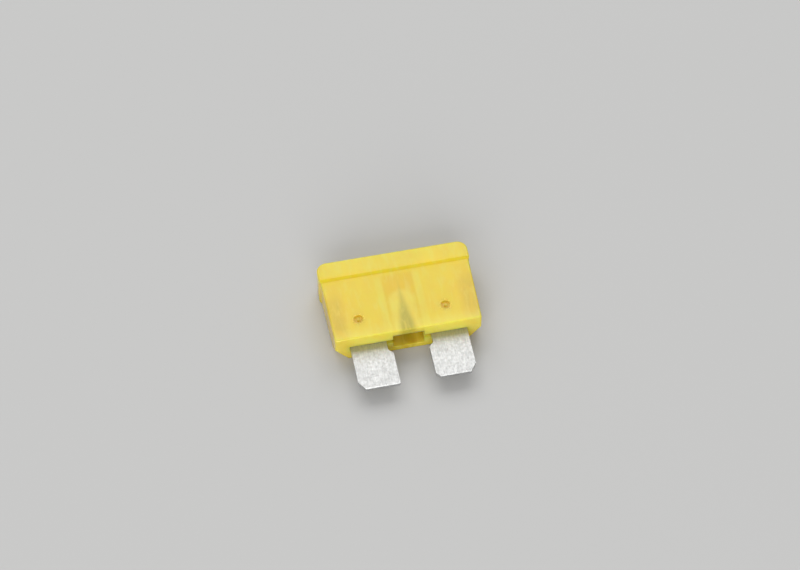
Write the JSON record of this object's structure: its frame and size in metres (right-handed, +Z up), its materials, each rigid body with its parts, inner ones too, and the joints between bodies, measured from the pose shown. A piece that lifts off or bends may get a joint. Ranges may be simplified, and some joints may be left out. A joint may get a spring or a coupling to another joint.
{
  "type": "automotive blade fuse",
  "caption": "Plug-in blade fuse: a translucent moulded housing with an open foot, staked onto a one-piece zinc element with flat blades.",
  "frame": {"origin": "under the middle of the fuse, on the plane that the back of its head lies on", "axes": "+X across both blades, +Y from the blade tips to the head, +Z up through the thickness, out of the front face"},
  "size_m": [0.0198, 0.0184, 0.005],
  "materials": {
    "housing_plastic": "translucent amber-yellow moulding, satin skin with fine mould marks",
    "zinc": "dull silver-grey stamped zinc with a faint lengthways grain"
  },
  "bodies": {
    "root": {"housing": "housing_plastic", "fuse_element": "zinc"}
  },
  "joints": []
}
